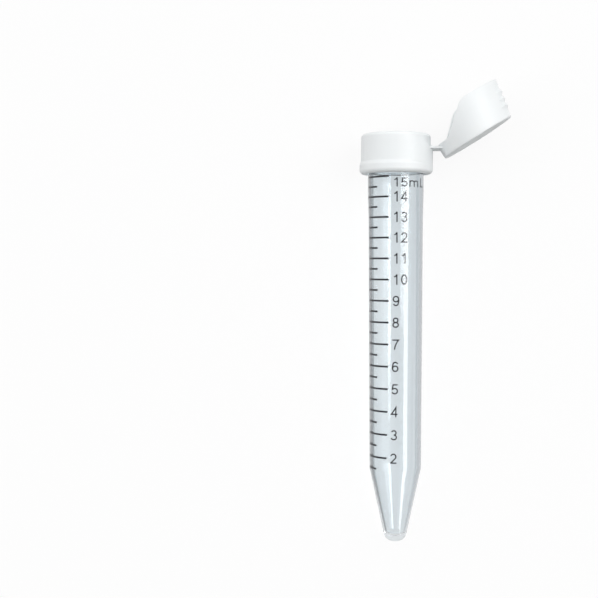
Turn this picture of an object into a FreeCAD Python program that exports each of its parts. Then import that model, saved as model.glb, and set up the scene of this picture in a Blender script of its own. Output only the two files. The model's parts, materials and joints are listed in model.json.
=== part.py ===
"""15 ml conical tube with a screw collar and a flip lid, lying at rest on a table.

The pieces are built standing: Z runs up the tube from its tip, X points at the lid's hinge, and the
scale is on the -Y side. At the end they are laid down together. The scale then faces up, the tube's
axis points along +Y, and the lid stands open towards +X.
"""

import os
from math import asin, atan2, cos, degrees, hypot, radians, sin, tan

import FreeCAD
import Part
from FreeCAD import Placement, Rotation, Vector

# ---- Tube: one injection moulding in clear polypropylene (mm) -----------------------------------
TUBE_LENGTH = 120.5  # tip to rim
SHOULDER_HEIGHT = 22.1  # where the cone meets the long body
SHOULDER_RADIUS = 7.72  # outside; the body tapers so that it leaves its mould
NECK_RADIUS = 8.27
NECK_STEP = 0.18  # the neck is this much wider than the body just below it
NECK_LENGTH = 17.5  # from the rim down to where the step begins
NECK_STEP_HEIGHT = 6.0
NECK_ROUNDING = 40.0
TIP_RADIUS = 2.98  # outside of the cone, carried on to the tip's plane
MOUTH_WALL = 0.8
LAND_STEP = 0.2  # the thread's land is this much narrower than the neck
LAND_BELOW_COLLAR = 0.2  # the plain neck ends this far under the collar
SHOULDER_WALL = 1.0  # also the wall of the cone
FLOOR_THICKNESS = 2.1
TIP_ROUNDING = 2.6
FLOOR_ROUNDING = 1.6
SHOULDER_ROUNDING = 3.0
RIM_ROUNDING = 0.25

# ---- Thread on the tube's neck ------------------------------------------------------------------
THREAD_PITCH = 3.0
THREAD_TURNS = 1.6
THREAD_DEPTH = 0.62
THREAD_ROOT_WIDTH = 1.5
THREAD_CREST_WIDTH = 0.6
THREAD_BELOW_RIM = 2.6  # from the rim down to the thread's upper end
THREAD_SINK = 0.25  # how far the thread's root reaches into the wall

# ---- Screw collar -------------------------------------------------------------------------------
COLLAR_HEIGHT = 11.8
COLLAR_TOP_WALL = 1.26  # from the bore to the outside, at the top
COLLAR_LOW_WALL = 1.41  # the same, just above the bead
COLLAR_ROUNDING = 1.0
BEAD_STEP = 0.4  # the bead stands this far out from the wall above it
BEAD_HEIGHT = 2.6
BEAD_ROUNDING = 1.3
BEAD_SLOPE = 1.0  # height of the slope from the bead up to the wall
THREAD_CLEARANCE = 0.15  # between the thread's crest and the collar's bore
WEB_THICKNESS = 1.3  # the ring that closes the collar's top around the mouth
SEAT_GAP = 0.1  # between the tube's rim and the web
SEAL_LENGTH = 3.2  # the ring that seals inside the tube's mouth
SEAL_WALL = 0.8
SEAL_CLEARANCE = 0.08
EDGE_ROUNDING = 0.25
MOUTH_BEVEL = 0.6  # where the web's hole meets the collar's top

# ---- Raised band under the closed lid's edge, on the hinge side ---------------------------------
BAND_WALL = 1.21  # from the bore to the band's outside, before it is moved
BAND_SHIFT = 0.77  # its centre lies this far towards the hinge, so that it runs out at the sides
BAND_TOP_RUN = 5.35  # from the lid's flat in to the band's upper corner
BAND_FOOT_RUN = 8.05  # the same, where its sloping edge meets the bead
BAND_LID_GAP = 0.2
BAND_CORNER = 0.8

# ---- Flip lid -----------------------------------------------------------------------------------
LID_OVERHANG = 1.1  # the closed lid's top is this much wider than the collar's
LID_FLAT_STEP = 0.25  # the flat that the hinge leaves from lies this far inside the lid's rim
LID_DEPTH = 11.7
LID_WALL = 0.6
LID_TOP_THICKNESS = 0.8
LID_TOP_ROUNDING = 0.5
LID_COLLAR_GAP = 0.15  # between the closed lid and the collar's top
THUMB_FLARE = 1.9  # how far the skirt leans out over its depth, on the thumb's side
HINGE_FLARE = 0.3  # the same, on the hinge's side
HINGE_WALL_DEPTH = 4.3  # the skirt is short at the hinge ...
SLOPE_START = 3.0  # ... up to here, measured from the hinge's flat ...
SLOPE_END = 11.0  # ... and has its full depth from here on
SLOPE_START_ROUNDING = 2.5
SLOPE_END_ROUNDING = 4.5
PLUG_LENGTH = 2.2
PLUG_WALL = 0.8
PLUG_CLEARANCE = 0.3
PLUG_TAPER = 0.45  # how much slimmer the plug is at its end, to swing in past the mouth's edge

# ---- Thumb ribs on the lid's skirt --------------------------------------------------------------
RIB_COUNT = 3
RIB_FIRST_DEPTH = 3.5  # from the top face to the first rib's crest
RIB_PITCH = 2.15
RIB_HEIGHT = 0.55
RIB_EDGE_SLOPE = 0.3  # how fast a rib falls away towards the skirt's edge, mm per mm
RIB_TOP_SLOPE = 0.8  # the same, towards the top face
RIB_ROOT = 0.4  # how far a rib's root reaches into the skirt's wall
RIB_SPREAD = 45.0  # degrees each side of the thumb at which a rib runs out into the wall
RIB_ROUNDING = 0.18

# ---- Living hinge -------------------------------------------------------------------------------
HINGE_REACH = 0.72  # from the closed lid's flat out to the bending line
HINGE_DROP = 4.55  # from the closed lid's top face down to the bending line
OPEN_ANGLE = 148.0  # degrees from closed to the rest pose
STRAP_WIDTH = 9.0
STRAP_THICKNESS = 0.6
STRAP_BELOW_TOP = 0.35  # from the raised band's top down to the strap's upper face
SEAM = 0.03  # parting between the strap and the lid, which are one moulding

# ---- Sizes that follow --------------------------------------------------------------------------
CONE_SLOPE = (SHOULDER_RADIUS - TIP_RADIUS) / SHOULDER_HEIGHT
NECK_HEIGHT = TUBE_LENGTH - NECK_LENGTH
BODY_TOP_HEIGHT = NECK_HEIGHT - NECK_STEP_HEIGHT
BODY_TOP_RADIUS = NECK_RADIUS - NECK_STEP
BORE_AT_MOUTH = NECK_RADIUS - MOUTH_WALL
COLLAR_BORE = NECK_RADIUS + THREAD_DEPTH + THREAD_CLEARANCE
WEB_BOTTOM = TUBE_LENGTH + SEAT_GAP
COLLAR_TOP = WEB_BOTTOM + WEB_THICKNESS
COLLAR_BOTTOM = COLLAR_TOP - COLLAR_HEIGHT
COLLAR_TOP_RADIUS = COLLAR_BORE + COLLAR_TOP_WALL
COLLAR_LOW_RADIUS = COLLAR_BORE + COLLAR_LOW_WALL
BEAD_RADIUS = COLLAR_LOW_RADIUS + BEAD_STEP
BAND_RADIUS = COLLAR_BORE + BAND_WALL
LID_RADIUS = COLLAR_TOP_RADIUS + LID_OVERHANG
LID_FLAT_REACH = LID_RADIUS - LID_FLAT_STEP
BAND_TOP_REACH = LID_FLAT_REACH - BAND_TOP_RUN
BAND_FOOT_REACH = LID_FLAT_REACH - BAND_FOOT_RUN
LAND_RADIUS = NECK_RADIUS - LAND_STEP
LAND_HEIGHT = COLLAR_BOTTOM - LAND_BELOW_COLLAR
SEAL_RADIUS = BORE_AT_MOUTH - SEAL_CLEARANCE
MOUTH_HOLE = SEAL_RADIUS - SEAL_WALL
LID_UNDERSIDE = COLLAR_TOP + LID_COLLAR_GAP
LID_TOP = LID_UNDERSIDE + LID_TOP_THICKNESS
LID_EDGE = LID_TOP - LID_DEPTH
SKIRT_RADIUS = LID_RADIUS + (THUMB_FLARE + HINGE_FLARE) / 2
SKIRT_SHIFT = (THUMB_FLARE - HINGE_FLARE) / 2
PLUG_RADIUS = MOUTH_HOLE - PLUG_CLEARANCE
BAND_TOP = LID_TOP - HINGE_WALL_DEPTH - BAND_LID_GAP
PIVOT = Vector(LID_FLAT_REACH + HINGE_REACH, 0, LID_TOP - HINGE_DROP)
OPENING = Placement(Vector(), Rotation(Vector(0, 1, 0), OPEN_ANGLE), PIVOT)


# ---- Shapes -------------------------------------------------------------------------------------
def rounded_wire(corners):
    """A closed wire in the XZ plane through corners (x, z, radius), each rounded to its radius."""
    points = [Vector(x, 0, z) for x, z, _ in corners]
    arcs = []
    for index, (_, _, radius) in enumerate(corners):
        corner = points[index]
        if radius == 0:
            arcs.append((corner, None, corner))
            continue
        back = (points[index - 1] - corner).normalize()
        ahead = (points[(index + 1) % len(points)] - corner).normalize()
        half = back.getAngle(ahead) / 2
        inward = (back + ahead).normalize()
        centre = corner + inward * (radius / sin(half))
        reach = radius / tan(half)
        arcs.append((corner + back * reach, centre - inward * radius, corner + ahead * reach))
    edges = []
    for index, (start, middle, end) in enumerate(arcs):
        previous_end = arcs[index - 1][2]
        if previous_end.distanceToPoint(start) > 1e-6:
            edges.append(Part.LineSegment(previous_end, start).toShape())
        if middle is not None:
            edges.append(Part.Arc(start, middle, end).toShape())
    return Part.Wire(edges)


def turned(corners):
    """A solid of revolution about Z, from corners (radius, height, rounding)."""
    face = Part.Face(rounded_wire(corners))
    return face.revolve(Vector(), Vector(0, 0, 1), 360)


def prism(corners, half_width):
    """An outline in the XZ plane carried half_width each way along Y."""
    face = Part.Face(rounded_wire(corners))
    face.translate(Vector(0, -half_width, 0))
    return face.extrude(Vector(0, 2 * half_width, 0))


def tapered_drum(low_radius, low_shift, low_height, high_radius, high_height):
    """A solid between two level circles, the lower one moved towards the thumb, which is -X."""
    circles = [
        Part.Circle(Vector(-low_shift, 0, low_height), Vector(0, 0, 1), low_radius),
        Part.Circle(Vector(0, 0, high_height), Vector(0, 0, 1), high_radius),
    ]
    wires = [Part.Wire(circle.toShape()) for circle in circles]
    return Part.makeLoft(wires, True, True)


def thumb_side_of(reach):
    """All of space on the thumb's side of an upright plane, as a block round the cap."""
    size = 8 * LID_RADIUS
    return Part.makeBox(size, size, size, Vector(reach - size, -size / 2, LID_TOP - size / 2))


# ---- Pieces, standing ---------------------------------------------------------------------------
def thread():
    """The ridge wound round the neck, with its root inside the wall."""
    top = TUBE_LENGTH - THREAD_BELOW_RIM
    bottom = top - THREAD_PITCH * THREAD_TURNS
    root = LAND_RADIUS - THREAD_SINK
    crest = NECK_RADIUS + THREAD_DEPTH
    section = rounded_wire(
        [
            (root, bottom - THREAD_ROOT_WIDTH / 2, 0),
            (crest, bottom - THREAD_CREST_WIDTH / 2, 0),
            (crest, bottom + THREAD_CREST_WIDTH / 2, 0),
            (root, bottom + THREAD_ROOT_WIDTH / 2, 0),
        ]
    )
    helix = Part.makeHelix(THREAD_PITCH, THREAD_PITCH * THREAD_TURNS, root)
    helix.translate(Vector(0, 0, bottom))
    return Part.Wire(helix.Edges).makePipeShell([section], True, True)


def tube():
    """The clear tube: round tip, cone, tapering body and threaded neck, open at the top."""
    floor_radius = TIP_RADIUS + CONE_SLOPE * FLOOR_THICKNESS - SHOULDER_WALL
    body = turned(
        [
            (0, 0, 0),
            (TIP_RADIUS, 0, TIP_ROUNDING),
            (SHOULDER_RADIUS, SHOULDER_HEIGHT, SHOULDER_ROUNDING),
            (BODY_TOP_RADIUS, BODY_TOP_HEIGHT, NECK_ROUNDING),
            (NECK_RADIUS, NECK_HEIGHT, NECK_ROUNDING),
            (NECK_RADIUS, LAND_HEIGHT, 0),
            (LAND_RADIUS, LAND_HEIGHT + LAND_STEP, 0),
            (LAND_RADIUS, TUBE_LENGTH, RIM_ROUNDING),
            (BORE_AT_MOUTH, TUBE_LENGTH, RIM_ROUNDING),
            (SHOULDER_RADIUS - SHOULDER_WALL, SHOULDER_HEIGHT, SHOULDER_ROUNDING),
            (floor_radius, FLOOR_THICKNESS, FLOOR_ROUNDING),
            (0, FLOOR_THICKNESS, 0),
        ]
    )
    return body.fuse(thread()).removeSplitter()


def collar_envelope():
    """The collar's outside, with no bore: wall, bead and top edge."""
    bead_top = COLLAR_BOTTOM + BEAD_HEIGHT
    return turned(
        [
            (0, COLLAR_BOTTOM, 0),
            (BEAD_RADIUS, COLLAR_BOTTOM, BEAD_ROUNDING),
            (BEAD_RADIUS, bead_top, BEAD_SLOPE),
            (COLLAR_LOW_RADIUS, bead_top + BEAD_SLOPE, BEAD_SLOPE),
            (COLLAR_TOP_RADIUS, COLLAR_TOP, COLLAR_ROUNDING),
            (0, COLLAR_TOP, 0),
        ]
    )


def raised_band():
    """The low step on the hinge's side that the closed lid's sloping edge comes down to."""
    drum = turned(
        [
            (0, COLLAR_BOTTOM, 0),
            (BAND_RADIUS, COLLAR_BOTTOM, BEAD_ROUNDING),
            (BAND_RADIUS, BAND_TOP, 0),
            (0, BAND_TOP, 0),
        ]
    )
    drum.translate(Vector(BAND_SHIFT, 0, 0))
    outline = prism(
        [
            (BAND_FOOT_REACH, COLLAR_BOTTOM, 0),
            (BAND_FOOT_REACH, COLLAR_BOTTOM + BEAD_HEIGHT, 0),
            (BAND_TOP_REACH, BAND_TOP, BAND_CORNER),
            (2 * BAND_RADIUS, BAND_TOP, 0),
            (2 * BAND_RADIUS, COLLAR_BOTTOM, 0),
        ],
        2 * BAND_RADIUS,
    )
    return drum.common(outline)


def collar_hollow():
    """What the collar's outside is emptied of: the threaded bore, the seal's groove and the mouth."""
    seal_bottom = WEB_BOTTOM - SEAL_LENGTH
    return turned(
        [
            (0, COLLAR_BOTTOM - 1, 0),
            (COLLAR_BORE, COLLAR_BOTTOM - 1, 0),
            (COLLAR_BORE, WEB_BOTTOM, EDGE_ROUNDING),
            (SEAL_RADIUS, WEB_BOTTOM, EDGE_ROUNDING),
            (SEAL_RADIUS, seal_bottom, EDGE_ROUNDING),
            (MOUTH_HOLE, seal_bottom, EDGE_ROUNDING),
            (MOUTH_HOLE, COLLAR_TOP - MOUTH_BEVEL, 0),
            (MOUTH_HOLE + MOUTH_BEVEL, COLLAR_TOP, 0),
            (MOUTH_HOLE + MOUTH_BEVEL, COLLAR_TOP + 1, 0),
            (0, COLLAR_TOP + 1, 0),
        ]
    )


def screw_collar():
    """The collar that screws onto the neck, open in the middle of its top."""
    outside = collar_envelope().fuse(raised_band())
    return outside.cut(collar_hollow()).removeSplitter()


def lid_envelope(grow=0.0):
    """The closed lid's outside with no hollow, grown by a gap where another piece is trimmed to it."""
    drum = tapered_drum(SKIRT_RADIUS + grow, SKIRT_SHIFT, LID_EDGE, LID_RADIUS + grow, LID_TOP + grow)
    return drum.common(thumb_side_of(LID_FLAT_REACH + grow))


def thumb_ribs():
    """Eccentric discs whose rims come out through the thumb's side of the skirt."""
    ease = RIB_HEIGHT * cos(radians(RIB_SPREAD)) / (1 - cos(radians(RIB_SPREAD)))
    ribs = []
    for index in range(RIB_COUNT):
        depth = RIB_FIRST_DEPTH + index * RIB_PITCH
        share = depth / LID_DEPTH
        crest = LID_RADIUS + (SKIRT_RADIUS - LID_RADIUS) * share - ease
        shift = SKIRT_SHIFT * share + RIB_HEIGHT + ease
        height = LID_TOP - depth
        root = crest - RIB_HEIGHT - RIB_ROOT
        low = height - (crest - root) / RIB_EDGE_SLOPE
        high = height + (crest - root) / RIB_TOP_SLOPE
        rib = turned(
            [
                (0, low, 0),
                (root, low, 0),
                (crest, height, RIB_ROUNDING),
                (root, high, 0),
                (0, high, 0),
            ]
        )
        rib.translate(Vector(-shift, 0, 0))
        ribs.append(rib)
    return ribs


def skirt_cutter():
    """What is cut away below the skirt's edge: shallow at the hinge, then sloping to full depth."""
    far = LID_RADIUS + 2 * THUMB_FLARE
    hinge_edge = LID_TOP - HINGE_WALL_DEPTH
    below = LID_EDGE - 1
    return prism(
        [
            (far, hinge_edge, 0),
            (LID_FLAT_REACH - SLOPE_START, hinge_edge, SLOPE_START_ROUNDING),
            (LID_FLAT_REACH - SLOPE_END, LID_EDGE, SLOPE_END_ROUNDING),
            (-far, LID_EDGE, 0),
            (-far, below, 0),
            (far, below, 0),
        ],
        2 * far,
    )


def plug():
    """The ring under the lid's top that closes the collar's mouth."""
    end = LID_UNDERSIDE - PLUG_LENGTH
    bore = PLUG_RADIUS - PLUG_WALL
    overlap = LID_TOP_THICKNESS / 2
    return turned(
        [
            (bore - PLUG_TAPER, end, 0),
            (PLUG_RADIUS - PLUG_TAPER, end, EDGE_ROUNDING),
            (PLUG_RADIUS, LID_UNDERSIDE, 0),
            (PLUG_RADIUS, LID_UNDERSIDE + overlap, 0),
            (bore, LID_UNDERSIDE + overlap, 0),
            (bore, LID_UNDERSIDE, 0),
        ]
    )


def flip_lid():
    """The lid in its closed place: top, flared skirt with thumb ribs, and plug."""
    drum = lid_envelope()
    top_edges = [edge for edge in drum.Edges if edge.BoundBox.ZMin > LID_TOP - 0.01]
    outside = drum.makeFillet(LID_TOP_ROUNDING, top_edges)
    for rib in thumb_ribs():
        outside = outside.fuse(rib)
    bore = tapered_drum(
        SKIRT_RADIUS - LID_WALL, SKIRT_SHIFT, LID_EDGE, LID_RADIUS - LID_WALL, LID_UNDERSIDE
    )
    hollow = bore.common(thumb_side_of(LID_FLAT_REACH - LID_WALL))
    shell = outside.cut(hollow).cut(skirt_cutter())
    return shell.fuse(plug()).removeSplitter()


def hinge_strap():
    """The thin strap of the living hinge, straight in the rest pose, from the collar to the open lid."""
    length = PIVOT.x + LID_RADIUS / 2 - COLLAR_BORE
    underside = BAND_TOP - STRAP_BELOW_TOP - STRAP_THICKNESS
    corner = Vector(COLLAR_BORE, -STRAP_WIDTH / 2, underside)
    strap = Part.makeBox(length, STRAP_WIDTH, STRAP_THICKNESS, corner)
    lid_space = lid_envelope(SEAM)
    lid_space.Placement = OPENING
    return strap.cut(collar_envelope()).cut(raised_band()).cut(lid_space)


# ---- Laying down --------------------------------------------------------------------------------
def laid(tilt, roll):
    """Lying along +Y with the scale up, the cap's end raised by tilt and the lid's side by roll."""
    down = Rotation(Vector(1, 0, 0), tilt - 90)
    turn = Rotation(Vector(0, 0, 1), -roll)
    return Placement(Vector(), down.multiply(turn))


def lowest(shape, pose):
    """The height of a shape's lowest point in a pose."""
    posed = shape.copy()
    posed.Placement = pose.multiply(posed.Placement)
    return posed.optimalBoundingBox(False, False).ZMin


def rest_tilt():
    """The angle of the line that touches the shoulder's rounding and the bead's rounding."""
    cone_angle = atan2(SHOULDER_RADIUS - TIP_RADIUS, SHOULDER_HEIGHT)
    body_angle = atan2(BODY_TOP_RADIUS - SHOULDER_RADIUS, BODY_TOP_HEIGHT - SHOULDER_HEIGHT)
    half_turn = (cone_angle - body_angle) / 2
    middle_angle = (cone_angle + body_angle) / 2
    back = SHOULDER_ROUNDING / cos(half_turn)
    shoulder_r = SHOULDER_RADIUS - back * cos(middle_angle)
    shoulder_z = SHOULDER_HEIGHT + back * sin(middle_angle)
    run = COLLAR_BOTTOM + BEAD_ROUNDING - shoulder_z
    rise = BEAD_RADIUS - BEAD_ROUNDING - shoulder_r
    return degrees(atan2(rise, run) + asin((BEAD_ROUNDING - SHOULDER_ROUNDING) / hypot(rise, run)))


def rest_roll(tilt, collar, lid):
    """The roll at which the open lid's side comes down to the table that the collar lies on."""
    low, high = -20.0, 20.0
    while high - low > 1e-4:
        middle = (low + high) / 2
        pose = laid(tilt, middle)
        if lowest(lid, pose) < lowest(collar, pose):
            low = middle
        else:
            high = middle
    return high


def main():
    os.makedirs("parts", exist_ok=True)
    lid = flip_lid()
    lid.Placement = OPENING
    pieces = {
        "tube": tube(),
        "screw_collar": screw_collar(),
        "hinge_strap": hinge_strap(),
        "flip_lid": lid,
    }
    tilt = rest_tilt()
    roll = rest_roll(tilt, pieces["screw_collar"], lid)
    pose = laid(tilt, roll)
    box = FreeCAD.BoundBox()
    for piece in pieces.values():
        piece.Placement = pose.multiply(piece.Placement)
        box.add(piece.optimalBoundingBox(False, False))
    to_origin = Vector(-box.Center.x, -box.Center.y, -box.ZMin)
    for name, piece in pieces.items():
        piece.translate(to_origin)
        piece.exportStep(f"parts/{name}.step")
        print(f"{name}: {len(piece.Solids)} solid, {piece.Volume:.1f} mm3, valid {piece.isValid()}")
    size = f"{box.XLength:.2f} x {box.YLength:.2f} x {box.ZLength:.2f}"
    print(f"tilt {tilt:.3f}, roll {roll:.3f}, size {size}")
    marks = {
        "tip": Vector(),
        "collar underside": Vector((COLLAR_BORE + BEAD_RADIUS - BEAD_ROUNDING) / 2, 0, COLLAR_BOTTOM),
        "collar top": Vector(0, 0, COLLAR_TOP),
        "hinge line": PIVOT,
    }
    for name, mark in marks.items():
        place = pose.multVec(mark) + to_origin
        print(f"{name}: {place.x:.4f}, {place.y:.4f}, {place.z:.4f}")
    for name, way in {"tube axis": Vector(0, 0, 1), "hinge axis": Vector(0, -1, 0)}.items():
        turned_way = pose.Rotation.multVec(way)
        print(f"{name}: {turned_way.x:.6f}, {turned_way.y:.6f}, {turned_way.z:.6f}")


main()
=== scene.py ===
# %% [markdown]
# # A 15 ml conical tube with a flip-top cap
# The object is a clear moulded tube with a printed volume scale and a white cap that screws on.
# The cap's lid hangs on a thin strap and stands open. Real sizes and moving bodies come from a packed
# frame, so this lesson only builds what the eye sees: smooth surfaces, ink, plastic and light.

import json
import math

import bpy
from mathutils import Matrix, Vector


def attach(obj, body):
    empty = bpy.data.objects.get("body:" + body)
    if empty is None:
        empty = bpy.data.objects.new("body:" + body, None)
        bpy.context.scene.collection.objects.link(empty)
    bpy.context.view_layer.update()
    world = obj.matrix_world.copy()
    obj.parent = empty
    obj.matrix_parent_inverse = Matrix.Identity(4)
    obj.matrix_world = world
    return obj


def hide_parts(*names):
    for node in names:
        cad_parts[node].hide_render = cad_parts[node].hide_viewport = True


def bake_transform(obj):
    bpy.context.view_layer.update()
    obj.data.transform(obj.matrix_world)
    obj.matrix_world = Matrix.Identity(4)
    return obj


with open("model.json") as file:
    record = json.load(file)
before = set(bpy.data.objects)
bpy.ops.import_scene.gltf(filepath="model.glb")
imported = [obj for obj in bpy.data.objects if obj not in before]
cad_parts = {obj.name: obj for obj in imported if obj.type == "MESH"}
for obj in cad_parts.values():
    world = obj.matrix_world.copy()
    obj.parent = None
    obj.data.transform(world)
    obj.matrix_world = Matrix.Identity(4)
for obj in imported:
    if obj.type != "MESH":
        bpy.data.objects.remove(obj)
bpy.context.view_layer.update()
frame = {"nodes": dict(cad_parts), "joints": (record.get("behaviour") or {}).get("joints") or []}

# %% [markdown]
# ## Where the tube lies
# The tube lies on its side, so its own upright directions differ from the world's. The cap's turning
# joint already knows the tube's centre line. Reading it keeps every new piece exactly on the frame,
# which is safer than typing the pose a second time.

# %% Read the tube's centre line and the hinge
MM = 0.001
SAME_PLACE = 0.001 * MM  # vertices closer than this are merged into one
COLLAR_TOP = 121.9  # height of the collar's top above the tube's tip, in mm

joints = {joint["name"]: joint for joint in frame["joints"]}
tube_axis = Vector(joints["cap_turn"]["axis"]).normalized()
tip = Vector(joints["cap_turn"]["pos_m"]) - tube_axis * COLLAR_TOP * MM
hinge_point = Vector(joints["lid_flip"]["pos_m"])
hinge_axis = Vector(joints["lid_flip"]["axis"]).normalized()
strap_way = tube_axis.cross(hinge_axis)
tilt = math.atan2(tube_axis.z, tube_axis.y)
print(f"tip at {tuple(round(x * 1000, 2) for x in tip)} mm, tilted {math.degrees(tilt):.2f} degrees")


# %% [markdown]
# ## Small tools for modelling
# Every piece is modelled upright on the world's Z axis, where sizes are easy to read, and then laid
# down. The turn and the move are applied to the mesh at the end, so that the finished object sits at
# the origin, unturned.

# %% Helpers that select, name and lay a piece down
def only(piece):
    """Make one object the selected and active one."""
    bpy.ops.object.select_all(action="DESELECT")
    piece.select_set(True)
    bpy.context.view_layer.objects.active = piece


def edit(piece):
    """Open a piece in edit mode with all of its mesh selected."""
    only(piece)
    bpy.ops.object.mode_set(mode="EDIT")
    bpy.ops.mesh.select_all(action="SELECT")


def finish_edit():
    """Face the normals outward and go back to object mode."""
    bpy.ops.mesh.select_all(action="SELECT")
    bpy.ops.mesh.normals_make_consistent(inside=False)
    bpy.ops.object.mode_set(mode="OBJECT")


def apply_modifier(piece, kind, **settings):
    """Add one modifier, set it, and make it part of the mesh."""
    only(piece)
    modifier = piece.modifiers.new(kind.title(), kind)
    for name, value in settings.items():
        setattr(modifier, name, value)
    bpy.ops.object.modifier_apply(modifier=modifier.name)


def lay_down(piece):
    """Turn an upright piece onto the tube's centre line and make that its mesh's own place."""
    only(piece)
    piece.rotation_euler = (tilt - math.pi / 2, 0, 0)
    piece.location = tip
    bpy.ops.object.transform_apply(location=True, rotation=True, scale=True)


# %% [markdown]
# ## Rounded outlines
# A moulded piece has no sharp corners, because plastic flows badly round them and they crack. An
# outline is written as a few corners, each with its rounding, and the arcs are worked out from them.

# %% Helpers that round an outline and draw it
def rounded(corners, steps=7):
    """The (radius, height, rounding) corners as a run of points, with an arc at each rounding."""
    points = []
    for index, (radius, height, rounding) in enumerate(corners):
        here = Vector((radius, height))
        if rounding == 0:
            points.append(here)
            continue
        back = (Vector(corners[index - 1][:2]) - here).normalized()
        ahead = (Vector(corners[index + 1][:2]) - here).normalized()
        half = back.angle(ahead) / 2
        centre = here + (back + ahead).normalized() * rounding / math.sin(half)
        first = here + back * rounding / math.tan(half) - centre
        last = here + ahead * rounding / math.tan(half) - centre
        sweep = first.angle(last)
        for step in range(steps + 1):
            share = step / steps
            arm = first * math.sin((1 - share) * sweep) + last * math.sin(share * sweep)
            points.append(centre + arm / math.sin(sweep))
    return points


def draw(name, points):
    """A line of edges through the points, on the XZ plane: one vertex, extruded from each to the next."""
    bpy.ops.object.select_all(action="DESELECT")
    bpy.ops.mesh.primitive_plane_add(size=MM, location=(0, 0, 0))
    piece = bpy.context.object
    piece.name = name
    edit(piece)
    bpy.ops.mesh.merge(type="CENTER")
    bpy.ops.transform.translate(value=(points[0].x * MM, 0, points[0].y * MM))
    for start, end in zip(points, points[1:]):
        step = (end - start) * MM
        bpy.ops.mesh.extrude_vertices_move(TRANSFORM_OT_translate={"value": (step.x, 0, step.y)})
    return piece


# %% [markdown]
# ## The tube
# The tube is one injection moulding: a rounded tip, a cone, a body that widens a little so that it
# leaves the mould, and a slightly wider neck. It is a body of revolution, so its wall's outline is
# drawn once, outside and inside, and spun round the axis. A fine spin matters here more than
# elsewhere, because light bends at every facet of a clear piece.

# %% Spin the tube
TUBE_LENGTH = 120.5
SHOULDER_HEIGHT, SHOULDER_RADIUS = 22.1, 7.72
TIP_RADIUS = 2.98
NECK_RADIUS = 8.27
BODY_TOP_RADIUS = 8.09
LAND_RADIUS = 8.07  # under the thread
MOUTH_RADIUS = 7.47
SHOULDER_BORE = 6.72
FLOOR_HEIGHT, FLOOR_RADIUS = 2.1, 2.43
BODY_TOP, NECK_FOOT = 97.0, 103.0  # the wall swells from the one height to the other
LAND_FOOT, LAND_STEP = 110.0, 0.1  # where the land begins, and half the height of its step
TIP_ROUND, SHOULDER_ROUND, SWELL_ROUND, RIM_ROUND, FLOOR_ROUND = 2.6, 3.0, 40.0, 0.25, 1.6
SIDES = 192

outline = rounded(
    [
        (0, 0, 0),
        (TIP_RADIUS, 0, TIP_ROUND),
        (SHOULDER_RADIUS, SHOULDER_HEIGHT, SHOULDER_ROUND),
        (BODY_TOP_RADIUS, BODY_TOP, SWELL_ROUND),
        (NECK_RADIUS, NECK_FOOT, SWELL_ROUND),
        (NECK_RADIUS, LAND_FOOT - LAND_STEP, 0),
        (LAND_RADIUS, LAND_FOOT + LAND_STEP, 0),
        (LAND_RADIUS, TUBE_LENGTH, RIM_ROUND),
        (MOUTH_RADIUS, TUBE_LENGTH, RIM_ROUND),
        (SHOULDER_BORE, SHOULDER_HEIGHT, SHOULDER_ROUND),
        (FLOOR_RADIUS, FLOOR_HEIGHT, FLOOR_ROUND),
        (0, FLOOR_HEIGHT, 0),
    ]
)
tube = draw("tube_moulding", outline)
bpy.ops.mesh.select_all(action="SELECT")
bpy.ops.mesh.spin(steps=SIDES, angle=2 * math.pi, center=(0, 0, 0), axis=(0, 0, 1))
bpy.ops.mesh.select_all(action="SELECT")
bpy.ops.mesh.remove_doubles(threshold=SAME_PLACE)
finish_edit()
print("tube faces:", len(tube.data.polygons))

# %% [markdown]
# ## The thread
# The cap grips a ridge that winds round the neck about one and a half times. The ridge's section is a small
# trapezoid, and the Screw modifier carries it round and up. Its root is sunk into the wall, so no gap
# shows under it.

# %% Wind the thread
THREAD_PITCH, THREAD_TURNS = 3.0, 1.6
THREAD_BELOW_RIM = 2.6
THREAD_SUNK, THREAD_OUT = 0.25, 0.62  # into the land, and out past the neck
THREAD_HALF_ROOT, THREAD_HALF_CREST = 0.75, 0.3  # half the ridge's height at its root and crest
THREAD_STEPS = 150
THREAD_FOOT = TUBE_LENGTH - THREAD_BELOW_RIM - THREAD_PITCH * THREAD_TURNS
THREAD_ROOT, THREAD_CREST = LAND_RADIUS - THREAD_SUNK, NECK_RADIUS + THREAD_OUT

section = [
    Vector((THREAD_ROOT, THREAD_FOOT - THREAD_HALF_ROOT)),
    Vector((THREAD_CREST, THREAD_FOOT - THREAD_HALF_CREST)),
    Vector((THREAD_CREST, THREAD_FOOT + THREAD_HALF_CREST)),
    Vector((THREAD_ROOT, THREAD_FOOT + THREAD_HALF_ROOT)),
]
thread = draw("neck_thread", section)
bpy.ops.mesh.select_all(action="SELECT")
bpy.ops.mesh.edge_face_add()
bpy.ops.mesh.delete(type="ONLY_FACE")
bpy.ops.object.mode_set(mode="OBJECT")
apply_modifier(
    thread,
    "SCREW",
    angle=2 * math.pi * THREAD_TURNS,
    screw_offset=THREAD_PITCH * THREAD_TURNS * MM,
    steps=THREAD_STEPS,
    render_steps=THREAD_STEPS,
)
edit(thread)
bpy.ops.mesh.fill_holes(sides=4)
finish_edit()
print("thread faces:", len(thread.data.polygons))

# %% Join the thread to the tube and lay the moulding down
only(tube)
thread.select_set(True)
bpy.ops.object.join()
bpy.ops.object.shade_smooth_by_angle(angle=math.radians(40))
lay_down(tube)
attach(tube, "tube")
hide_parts("tube")
print("tube moulding:", [round(x * 1000, 2) for x in tube.dimensions], "mm")

# %% [markdown]
# ## Where the scale's marks go
# A mark shows where one more millilitre fills the tube to, so the marks stand closer together as the
# bore widens. The spacing is worked out from the bore instead of measured mark by mark: the height
# grows in small steps until each next half millilitre is full.

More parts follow.
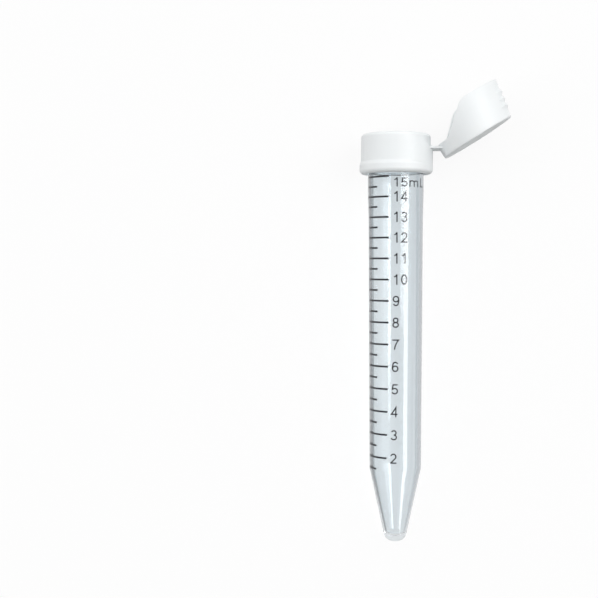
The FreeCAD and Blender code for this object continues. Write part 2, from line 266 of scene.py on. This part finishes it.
# %% Fill the bore to find the marks
SECOND_MARK = 26.16  # height of the 2 ml mark, in mm
MILLILITRE = 1000.0  # in cubic mm
FILL_STEP = 0.01  # mm of height at a time


def bore_radius(height):
    """The inside radius of the body at a height, in mm."""
    share = (height - SHOULDER_HEIGHT) / (TUBE_LENGTH - SHOULDER_HEIGHT)
    return SHOULDER_BORE + (MOUTH_RADIUS - SHOULDER_BORE) * share


def mark_height(millilitres):
    """The height of a volume mark, stepping up or down from the 2 ml mark."""
    height, left = SECOND_MARK, (millilitres - 2) * MILLILITRE
    step = math.copysign(FILL_STEP, left)
    while left * step > 0:
        left -= math.pi * bore_radius(height) ** 2 * step
        height += step
    return height


marks = {half / 2: mark_height(half / 2) for half in range(3, 31)}
print("marks:", {volume: round(height, 2) for volume, height in marks.items()})

# %% [markdown]
# ## The printed scale
# The marks and numbers are pad-printed: a rubber pad lays a thin film of ink on the curved wall. Here
# the print is made in the same way. It is set out flat, as on the printing plate, with X round the
# wall and Z up it, and then wrapped on. Every line of it is one pen stroke: a path that is raised by
# the ink's thickness and then widened to the line's width.

# %% Helpers for places on the wall and for pen strokes
MARK_LINE = 0.54  # width of a mark, in mm
FIGURE_LINE = 0.37  # width of a figure's stroke
INK_THICKNESS = 0.02
INK_LIFT = 0.004  # keeps the film's back off the wall


def wall_radius(height):
    """The outside radius of the tube at a height, read off its rounded outline."""
    for low, high in zip(outline, outline[1:]):
        if low.y < high.y and low.y <= height <= high.y:
            return low.x + (high.x - low.x) * (height - low.y) / (high.y - low.y)
    return NECK_RADIUS


def round_wall(degrees, height):
    """How far round the wall an angle from its top is, in mm."""
    return math.radians(degrees) * wall_radius(height)


def pen_stroke(name, points, width):
    """A flat printed line along the points."""
    stroke = draw(name, [Vector(point) for point in points])
    bpy.ops.mesh.select_all(action="SELECT")
    bpy.ops.mesh.remove_doubles(threshold=SAME_PLACE)
    bpy.ops.mesh.extrude_region_move(TRANSFORM_OT_translate={"value": (0, -INK_THICKNESS * MM, 0)})
    bpy.ops.object.mode_set(mode="OBJECT")
    apply_modifier(stroke, "SOLIDIFY", thickness=width * MM, offset=0, use_even_offset=True)
    return stroke


# %% Set out the marks flat
MARKS_START, LONG_END, SHORT_END = -80.0, -17.9, -44.7  # degrees round the wall from its top

plate = []
for volume, height in marks.items():
    start = round_wall(MARKS_START, height)
    end = round_wall(LONG_END if volume == int(volume) else SHORT_END, height)
    plate.append(pen_stroke("mark", [(start, height), (end, height)], MARK_LINE))
print("marks set out:", len(plate))

# %% [markdown]
# ## The figures
# The figures are a plain upright lettering with even strokes, the kind that stays readable at 3 mm.
# Each is described by the path of the pen in a box one unit high, with bows for its round parts. It
# is drawn once, and every later use of it is a copy.


# %% Describe the figures
def bow(centre, size, start, end, steps=14):
    """Points along an ellipse from one angle to another, in degrees."""
    angles = [math.radians(start + (end - start) * step / steps) for step in range(steps + 1)]
    return [(centre[0] + size[0] * math.cos(a), centre[1] + size[1] * math.sin(a)) for a in angles]


def arch(left, right):
    """One arch of the letter m: up over and down to the line."""
    middle, half = (left + right) / 2, (right - left) / 2
    return bow((middle, 0.46), (half, 0.2), 180, 0) + [(right, 0)]


six = [bow((0.385, 0.66), (0.25, 0.275), 25, 150) + [(0.115, 0.55), (0.105, 0.42), (0.115, 0.32)]]
six += [bow((0.38, 0.32), (0.265, 0.255), 0, 360, 24)]
FIGURES = {
    "0": [bow((0.375, 0.5), (0.265, 0.435), 0, 360, 28)],
    "1": [[(0.18, 0.745), (0.3, 0.8), (0.4, 0.89), (0.458, 0.99)], [(0.458, 1), (0.458, 0)]],
    "2": [bow((0.37, 0.68), (0.255, 0.255), 165, -40) + [(0.13, 0.07), (0.7, 0.065)]],
    "3": [
        bow((0.36, 0.725), (0.225, 0.21), 160, -90),
        bow((0.365, 0.29), (0.265, 0.225), 90, -165),
    ],
    "4": [[(0.52, 0), (0.52, 0.94), (0.08, 0.29), (0.7, 0.29)]],
    "5": [[(0.65, 0.935), (0.2, 0.935), (0.13, 0.5)] + bow((0.37, 0.325), (0.265, 0.26), 125, -160)],
    "6": six,
    "7": [[(0.07, 0.935), (0.67, 0.935), (0.5, 0.7), (0.38, 0.45), (0.31, 0.2), (0.29, 0)]],
    "8": [
        bow((0.37, 0.725), (0.225, 0.21), 0, 360, 24),
        bow((0.37, 0.29), (0.265, 0.225), 0, 360, 24),
    ],
    "9": [[(0.76 - x, 1 - y) for x, y in stroke] for stroke in six],
    "m": [[(0.13, 0), (0.13, 0.7)], arch(0.13, 0.65), arch(0.65, 1.17)],
    "L": [[(0.14, 1), (0.14, 0.065), (0.65, 0.065)]],
}
WIDTHS = {"m": 1.54}  # every other figure takes the usual width
USUAL_WIDTH = 0.833

# %% Draw each figure once and set out the numbers
NUMBER_HEIGHT = 3.05
FIGURE_BOX = 2.93  # width of the box that the figures are described in
NUMBERS_START = -1.46  # mm round the wall from its top
TOP_LABEL_DROP = 1.72  # the topmost number stands lower than its mark, clear of the collar ...
TOP_LABEL_SHARE = 0.87  # ... and is less high than the others

drawn = {}
for character, strokes in FIGURES.items():
    pieces = []
    for stroke in strokes:
        scaled = [(x * FIGURE_BOX, y * NUMBER_HEIGHT) for x, y in stroke]
        pieces.append(pen_stroke("figure_" + character, scaled, FIGURE_LINE))
    only(pieces[0])
    for piece in pieces:
        piece.select_set(True)
    bpy.ops.object.join()
    drawn[character] = bpy.context.object


def set_number(text, height, share=1.0):
    """Copies of a number's figures, side by side on the plate, with their middle at a height."""
    left = NUMBERS_START
    for character in text:
        copy = drawn[character].copy()
        copy.data = drawn[character].data.copy()
        copy.location = Vector((left, 0, height - share * NUMBER_HEIGHT / 2)) * MM
        copy.scale.z = share
        bpy.context.scene.collection.objects.link(copy)
        plate.append(copy)
        left += WIDTHS.get(character, USUAL_WIDTH) * FIGURE_BOX


for volume in range(2, 15):
    set_number(str(volume), marks[volume])
set_number("15mL", marks[15] - TOP_LABEL_DROP, TOP_LABEL_SHARE)
print("figures drawn:", len(drawn), "pieces on the plate:", len(plate))

# %% [markdown]
# ## Wrapping the print on
# A flat face can't follow a curved wall, so the print is first cut into narrow upright strips. Each
# point then goes round the wall by its X, and stays at its own height. The pad has slipped a little
# sideways towards the tip, so the lower marks and numbers sit further round.

# %% Wrap the print round the tube
STRIP = 0.25
SLIP = 0.66  # how far the pad slipped at the 2 ml mark, in mm
SLIP_START = 84.0  # there is no slip above this height

for figure in drawn.values():
    bpy.data.objects.remove(figure)
only(plate[0])
for piece in plate:
    piece.select_set(True)
bpy.ops.object.join()
ink = bpy.context.object
ink.name = "printed_scale"
bpy.ops.object.transform_apply(location=True, rotation=True, scale=True)
across = [vertex.co.x for vertex in ink.data.vertices]
cut, last_cut = min(across) + STRIP * MM, max(across)
edit(ink)
while cut < last_cut:
    bpy.ops.mesh.select_all(action="SELECT")
    bpy.ops.mesh.bisect(plane_co=(cut, 0, 0), plane_no=(1, 0, 0))
    cut += STRIP * MM
bpy.ops.object.mode_set(mode="OBJECT")
for vertex in ink.data.vertices:
    height = vertex.co.z / MM
    radius = wall_radius(height)
    slip = SLIP * max(0, (SLIP_START - height) / (SLIP_START - SECOND_MARK)) ** 2
    angle = (vertex.co.x / MM - slip) / radius
    radius += INK_LIFT - vertex.co.y / MM
    vertex.co = Vector((radius * math.sin(angle), -radius * math.cos(angle), height)) * MM
edit(ink)
finish_edit()
lay_down(ink)
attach(ink, "tube")
print("ink faces:", len(ink.data.polygons))


# %% [markdown]
# ## The cap's collar and lid
# Collar, strap and lid come out of one mould. Their true shapes are in the frame, but as loose
# triangles that would show facets. A copy is sewn together and its stored shading directions are
# cleared, because sewing mixes them up at the corners. Then its curved faces are shaded smooth, and
# weighted normals keep the flat faces flat beside the small roundings.

# %% Helper that makes a smooth copy of a frame node
def smooth_copy(node, name, sharp=32):
    """A sewn and smooth-shaded copy of a frame node, riding with nothing yet."""
    bpy.ops.object.select_all(action="DESELECT")
    piece = bpy.data.objects.new(name, frame["nodes"][node].data.copy())
    bpy.context.scene.collection.objects.link(piece)
    edit(piece)
    bpy.ops.mesh.remove_doubles(threshold=SAME_PLACE)
    finish_edit()
    bpy.ops.mesh.customdata_custom_splitnormals_clear()
    bpy.ops.object.shade_smooth_by_angle(angle=math.radians(sharp))
    return piece


# %% Copy the collar and the lid
collar = smooth_copy("screw_collar", "collar_moulding")
lid = smooth_copy("flip_lid", "lid_moulding")
for piece, body, node in ((collar, "cap", "screw_collar"), (lid, "lid", "flip_lid")):
    apply_modifier(piece, "WEIGHTED_NORMAL", keep_sharp=True, weight=80)
    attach(piece, body)
    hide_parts(node)
    print(piece.name, "faces:", len(piece.data.polygons))

# %% [markdown]
# ## The living hinge
# A thin strap joins collar and lid and bends every time the lid moves. Polypropylene stands this for
# thousands of turns. The strap needs many cuts across its length, because a mesh bends only at its
# edges. It is attached to no body.

# %% Cut the strap finely
STRAP_CUTS = 24
CUTS_START, CUTS_RUN = -1.6, 3.2  # where the cuts begin, from the hinge line, and how far they run

strap = smooth_copy("hinge_strap", "strap_moulding")
edit(strap)
for index in range(STRAP_CUTS):
    along_strap = CUTS_START + CUTS_RUN * index / (STRAP_CUTS - 1)
    place = hinge_point + strap_way * along_strap * MM
    bpy.ops.mesh.select_all(action="SELECT")
    bpy.ops.mesh.bisect(plane_co=place, plane_no=strap_way)
finish_edit()
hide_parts("hinge_strap")
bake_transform(strap)
print("strap faces:", len(strap.data.polygons))


# %% [markdown]
# ## Shared surface effects
# No moulded face is perfectly even. Two groups put that unevenness into every material: one gives
# fine grain for gloss and bump, the other gives the faint streaks that plastic leaves as it flows
# along a mould. They put out only values that vary, and the shaders stay in each material.

# %% Helpers that build node groups
NOISE_LOW, NOISE_HIGH = 0.3, 0.7  # nearly all of the noise lies between these


def new_group(name, inputs, outputs):
    """A shader node group with float inputs and named outputs, and its two end nodes."""
    group = bpy.data.node_groups.new(name, "ShaderNodeTree")
    for label, value in inputs.items():
        socket = group.interface.new_socket(label, in_out="INPUT", socket_type="NodeSocketFloat")
        socket.default_value = value
    for label in outputs:
        group.interface.new_socket(label, in_out="OUTPUT", socket_type="NodeSocketFloat")
    return group, group.nodes.new("NodeGroupInput"), group.nodes.new("NodeGroupOutput")


def noise_range(group, ends, size, low, high, coordinates, detail=3.0):
    """Noise over the object, stretched to run between two of the group's inputs."""
    noise = group.nodes.new("ShaderNodeTexNoise")
    noise.inputs["Detail"].default_value = detail
    spread = group.nodes.new("ShaderNodeMapRange")
    spread.inputs["From Min"].default_value = NOISE_LOW
    spread.inputs["From Max"].default_value = NOISE_HIGH
    group.links.new(coordinates, noise.inputs["Vector"])
    group.links.new(ends.outputs[size], noise.inputs["Scale"])
    group.links.new(noise.outputs["Fac"], spread.inputs["Value"])
    group.links.new(ends.outputs[low], spread.inputs["To Min"])
    group.links.new(ends.outputs[high], spread.inputs["To Max"])
    return spread.outputs["Result"], noise.outputs["Fac"]


# %% Build the grain and flow groups
FLOW_STRETCH = (1.0, 0.12, 1.0)  # draws the streaks out along the tube

grain, ends, result = new_group(
    "mould_grain", {"Scale": 900.0, "Smooth": 0.3, "Rough": 0.4}, ["Roughness", "Height"]
)
where = grain.nodes.new("ShaderNodeTexCoord")
gloss, fine = noise_range(grain, ends, "Scale", "Smooth", "Rough", where.outputs["Object"])
grain.links.new(gloss, result.inputs["Roughness"])
grain.links.new(fine, result.inputs["Height"])

flow, ends, result = new_group("mould_flow", {"Scale": 160.0, "Low": 0.0, "High": 1.0}, ["Mask"])
where = flow.nodes.new("ShaderNodeTexCoord")
stretch = flow.nodes.new("ShaderNodeMapping")
stretch.inputs["Scale"].default_value = FLOW_STRETCH
flow.links.new(where.outputs["Object"], stretch.inputs["Vector"])
streaks, _ = noise_range(flow, ends, "Scale", "Low", "High", stretch.outputs["Vector"], 4.0)
flow.links.new(streaks, result.inputs["Mask"])
print("groups:", grain.name, flow.name)


# %% [markdown]
# ## The plastics and the ink
# White polypropylene is satin and lets a little light into its surface. Clear polypropylene is never
# as clear as glass: it is faintly cool and cloudy. It lets the lamps' light through to what lies
# under it. Pad-printing ink is a glossy near-black film.

# %% Helper that starts a material
GRAIN_DEPTH = 0.01  # in mm


def plastic(name, dark, light, smooth, rough, grain_size, bump, flow_size=160.0):
    """A Principled material whose colour follows the flow and whose gloss and bump follow the grain."""
    material = bpy.data.materials.new(name)
    material.use_nodes = True
    nodes, links = material.node_tree.nodes, material.node_tree.links
    shader = nodes["Principled BSDF"]
    colour_mask = nodes.new("ShaderNodeGroup")
    colour_mask.node_tree = flow
    colour_mask.inputs["Scale"].default_value = flow_size
    ramp = nodes.new("ShaderNodeValToRGB")
    ramp.color_ramp.elements[0].color = (*dark, 1)
    ramp.color_ramp.elements[1].color = (*light, 1)
    surface = nodes.new("ShaderNodeGroup")
    surface.node_tree = grain
    surface.inputs["Scale"].default_value = grain_size
    surface.inputs["Smooth"].default_value = smooth
    surface.inputs["Rough"].default_value = rough
    relief = nodes.new("ShaderNodeBump")
    relief.inputs["Strength"].default_value = bump
    relief.inputs["Distance"].default_value = GRAIN_DEPTH * MM
    links.new(colour_mask.outputs["Mask"], ramp.inputs["Fac"])
    links.new(ramp.outputs["Color"], shader.inputs["Base Color"])
    links.new(surface.outputs["Roughness"], shader.inputs["Roughness"])
    links.new(surface.outputs["Height"], relief.inputs["Height"])
    links.new(relief.outputs["Normal"], shader.inputs["Normal"])
    return material, shader


def coat(piece, material):
    """Give a piece one material."""
    piece.data.materials.clear()
    piece.data.materials.append(material)


# %% Make the white, clear and ink materials
POLYPROPYLENE_IOR = 1.49
GLOW_DEPTH = 0.7  # how far light spreads in the white plastic, in mm
LAMP_LIGHT_LET_THROUGH = (0.93, 0.94, 0.945, 1)

white, shader = plastic(
    "white_polypropylene",
    dark=(0.86, 0.89, 0.9),
    light=(0.9, 0.925, 0.93),
    smooth=0.46,
    rough=0.56,
    grain_size=1500.0,
    bump=0.25,
)
shader.inputs["IOR"].default_value = POLYPROPYLENE_IOR
shader.inputs["Subsurface Weight"].default_value = 0.3
shader.inputs["Subsurface Radius"].default_value = (1.0, 1.0, 1.0)
shader.inputs["Subsurface Scale"].default_value = GLOW_DEPTH * MM
for piece in (collar, lid, strap):
    coat(piece, white)

clear, shader = plastic(
    "clear_polypropylene",
    dark=(0.845, 0.885, 0.91),
    light=(0.885, 0.918, 0.935),
    smooth=0.03,
    rough=0.06,
    grain_size=400.0,
    bump=0.012,
)
shader.inputs["IOR"].default_value = POLYPROPYLENE_IOR
shader.inputs["Transmission Weight"].default_value = 1.0
nodes, links = clear.node_tree.nodes, clear.node_tree.links
path = nodes.new("ShaderNodeLightPath")
way_through = nodes.new("ShaderNodeBsdfTransparent")
way_through.inputs["Color"].default_value = LAMP_LIGHT_LET_THROUGH
mix = nodes.new("ShaderNodeMixShader")
links.new(path.outputs["Is Shadow Ray"], mix.inputs["Fac"])
links.new(shader.outputs["BSDF"], mix.inputs[1])
links.new(way_through.outputs["BSDF"], mix.inputs[2])
links.new(mix.outputs["Shader"], nodes["Material Output"].inputs["Surface"])
coat(tube, clear)

black, shader = plastic(
    "scale_ink",
    dark=(0.012, 0.013, 0.018),
    light=(0.03, 0.032, 0.04),
    smooth=0.12,
    rough=0.2,
    grain_size=2500.0,
    bump=0.1,
    flow_size=900.0,
)
coat(ink, black)
print("materials:", [material.name for material in (white, clear, black)])

# %% [markdown]
# ## The floor and the white surround
# The object lies on a plain white floor. A white floor in soft light looks pale grey, so the camera,
# reflections and clear plastic see some white of its own added, while the lamps' light and the
# object's shadow stay in it. The world does the same: it is white to look at, and dimmer as a lamp.


# %% Build the white surround
def own_white(nodes, links, shares):
    """How much of its own white a surface shows to each kind of ray, and none to the rays that light."""
    path = nodes.new("ShaderNodeLightPath")
    total = None
    for ray, share in shares.items():
        part = nodes.new("ShaderNodeMath")
        part.operation = "MULTIPLY"
        part.inputs[1].default_value = share
        links.new(path.outputs[ray], part.inputs[0])
        if total is not None:
            larger = nodes.new("ShaderNodeMath")
            larger.operation = "MAXIMUM"
            links.new(total, larger.inputs[0])
            links.new(part.outputs[0], larger.inputs[1])
            total = larger.outputs[0]
        else:
            total = part.outputs[0]
    return total


FLOOR_SIZE = 6.0  # in metres
FLOOR_AS_LIGHT = (0.5, 0.5, 0.5, 1)  # what it throws back up at the object
FLOOR_TO_LOOK_AT = (0.9, 0.9, 0.9, 1)  # what the camera sees, so that a soft shadow shows on it
FLOOR_SHARES = {"Is Camera Ray": 0.88, "Is Glossy Ray": 0.6, "Is Transmission Ray": 0.62}
bpy.ops.mesh.primitive_plane_add(size=FLOOR_SIZE, location=(0, 0, 0))
floor = bpy.context.object
floor.name = "floor"
paper = bpy.data.materials.new("floor_paper")
paper.use_nodes = True
nodes, links = paper.node_tree.nodes, paper.node_tree.links
lit = nodes["Principled BSDF"]
lit.inputs["Roughness"].default_value = 0.9
lit.inputs["Specular IOR Level"].default_value = 0.1
seen = nodes.new("ShaderNodeLightPath")
colour = nodes.new("ShaderNodeMix")
colour.data_type = "RGBA"
colour.inputs["A"].default_value = FLOOR_AS_LIGHT
colour.inputs["B"].default_value = FLOOR_TO_LOOK_AT
links.new(seen.outputs["Is Camera Ray"], colour.inputs["Factor"])
links.new(colour.outputs["Result"], lit.inputs["Base Color"])
own = nodes.new("ShaderNodeEmission")
mix = nodes.new("ShaderNodeMixShader")
links.new(own_white(nodes, links, FLOOR_SHARES), mix.inputs["Fac"])
links.new(lit.outputs["BSDF"], mix.inputs[1])
links.new(own.outputs["Emission"], mix.inputs[2])
links.new(mix.outputs["Shader"], nodes["Material Output"].inputs["Surface"])
coat(floor, paper)

WORLD_NEAR, WORLD_FAR = 0.0, 0.93  # its light from the tip's side and from the cap's side
WORLD_SLOPE_END = 0.4  # brightest from here on, where -1 is the tip's way and 1 is the cap's
WORLD_SHARES = {"Is Camera Ray": 1.0, "Is Glossy Ray": 1.0, "Is Transmission Ray": 1.0}
world = bpy.data.worlds.new("white_surround")
bpy.context.scene.world = world
world.use_nodes = True
nodes, links = world.node_tree.nodes, world.node_tree.links
where = nodes.new("ShaderNodeTexCoord")
split = nodes.new("ShaderNodeSeparateXYZ")
slope = nodes.new("ShaderNodeMapRange")
slope.inputs["From Min"].default_value = -1.0
slope.inputs["From Max"].default_value = WORLD_SLOPE_END
slope.inputs["To Min"].default_value = WORLD_NEAR
slope.inputs["To Max"].default_value = WORLD_FAR
links.new(where.outputs["Generated"], split.inputs["Vector"])
links.new(split.outputs["Y"], slope.inputs["Value"])
strength = nodes.new("ShaderNodeMapRange")
strength.inputs["To Max"].default_value = 1.0
links.new(slope.outputs["Result"], strength.inputs["To Min"])
links.new(own_white(nodes, links, WORLD_SHARES), strength.inputs["Value"])
links.new(strength.outputs["Result"], nodes["Background"].inputs["Strength"])
nodes["Background"].inputs["Color"].default_value = (1, 1, 1, 1)
print("floor and world ready")


# %% [markdown]
# ## Cards beside the tube
# Clear plastic on white has no edges of its own. In a studio, dark cards are laid beside it, and the
# curved wall bends them into its two sides as dark lines. These cards are seen only through the clear
# plastic. The one on the left is darker, so that the tube looks round and not flat.

# %% Lay the cards
CARD_LENGTH, CARD_MIDDLE = 118.0, -16.0  # along the tube, in mm
CARD_LIFT = 0.3  # keeps the cards clear of the floor
CARD_COOLNESS = 0.03  # how much less red and more blue than grey they are


def card(name, left, right, grey):
    """A grey strip beside the tube, seen only through it; left and right from its axis, in mm."""
    middle = (tip.x + (left + right) / 2 * MM, CARD_MIDDLE * MM, CARD_LIFT * MM)
    bpy.ops.mesh.primitive_plane_add(size=1, location=middle)
    strip = bpy.context.object
    strip.name = name
    strip.dimensions = ((right - left) * MM, CARD_LENGTH * MM, 0)
    bpy.ops.object.transform_apply(location=True, rotation=True, scale=True)
    for kind in ("camera", "diffuse", "glossy", "volume_scatter", "shadow"):
        setattr(strip, "visible_" + kind, False)
    material = bpy.data.materials.new(name)
    material.use_nodes = True
    shader = material.node_tree.nodes["Principled BSDF"]
    shader.inputs["Base Color"].default_value = (0, 0, 0, 1)
    shader.inputs["Specular IOR Level"].default_value = 0.0
    cool_grey = (grey * (1 - CARD_COOLNESS), grey, grey * (1 + CARD_COOLNESS), 1)
    shader.inputs["Emission Color"].default_value = cool_grey
    shader.inputs["Emission Strength"].default_value = 1.0
    coat(strip, material)


card("card_left", left=-26.0, right=-8.6, grey=0.35)
card("card_right", left=8.6, right=24.0, grey=0.6)
print("cards laid")


# %% [markdown]
# ## Light
# A broad soft lamp to the right and a dimmer one to the left light the object from the cap's end, so
# that faces turned towards the tip fall into shade. Two strip lamps are only there to be reflected.
# A clear tube mirrors a lamp twice, in its outside on the right and in the far wall on the left, and
# that second line is the weaker one. With a lamp for each, each line can be placed by itself.

# %% Set the lamps
def lamp(name, angle, distance, width, length, watts, along=0.0):
    """An area lamp facing the tube: angle in degrees from straight up towards the lid, sizes in m."""
    light = bpy.data.lights.new(name, "AREA")
    light.shape = "RECTANGLE"
    light.size, light.size_y = width, length
    light.energy = watts
    holder = bpy.data.objects.new(name, light)
    bpy.context.scene.collection.objects.link(holder)
    lean = math.radians(angle)
    holder.location = (tip.x + distance * math.sin(lean), along, distance * math.cos(lean))
    holder.rotation_euler = (0, lean, 0)
    return holder


strip_lamp = lamp(
    "glare_strip", angle=41, distance=0.8, width=0.27, length=1.3, watts=7.4, along=-0.15
)
strip_lamp.visible_diffuse = False
strip_lamp.visible_transmission = False
inner_strip = lamp(
    "inner_glare", angle=27, distance=0.8, width=0.22, length=0.5, watts=1.9, along=0.1
)
inner_strip.visible_diffuse = False
inner_strip.visible_glossy = False
key = lamp("key_soft", angle=40, distance=1.0, width=0.7, length=0.7, watts=3.7, along=0.25)
fill = lamp("left_fill", angle=-50, distance=1.2, width=1.0, length=1.0, watts=3.8, along=0.0)
for soft in (key, fill):
    soft.visible_glossy = False

# %% [markdown]
# ## The camera
# The camera looks straight down at the lying tube from 33 cm above the floor. It stands to the left of
# the tube, so the tube lies right of the middle of the view, and the lens shift moves it further.

# %% Place the camera
LENS_LENGTH, SENSOR_WIDTH = 64.415, 36.0  # in mm
LENS_SHIFT = -0.05184  # as a share of the view's width
CAMERA_FROM_TIP = (-19.645, 72.846)  # across and along the tube, in mm
CAMERA_HEIGHT = 330.22  # above the floor, in mm

lens = bpy.data.cameras.new("camera")
lens.lens, lens.sensor_width = LENS_LENGTH, SENSOR_WIDTH
lens.shift_x = LENS_SHIFT
camera = bpy.data.objects.new("camera", lens)
camera.location = tip + Vector((*CAMERA_FROM_TIP, 0)) * MM
camera.location.z = CAMERA_HEIGHT * MM
bpy.context.scene.collection.objects.link(camera)
bpy.context.scene.camera = camera
bpy.context.scene.view_settings.view_transform = "Standard"
print("camera at", tuple(round(x, 4) for x in camera.location))
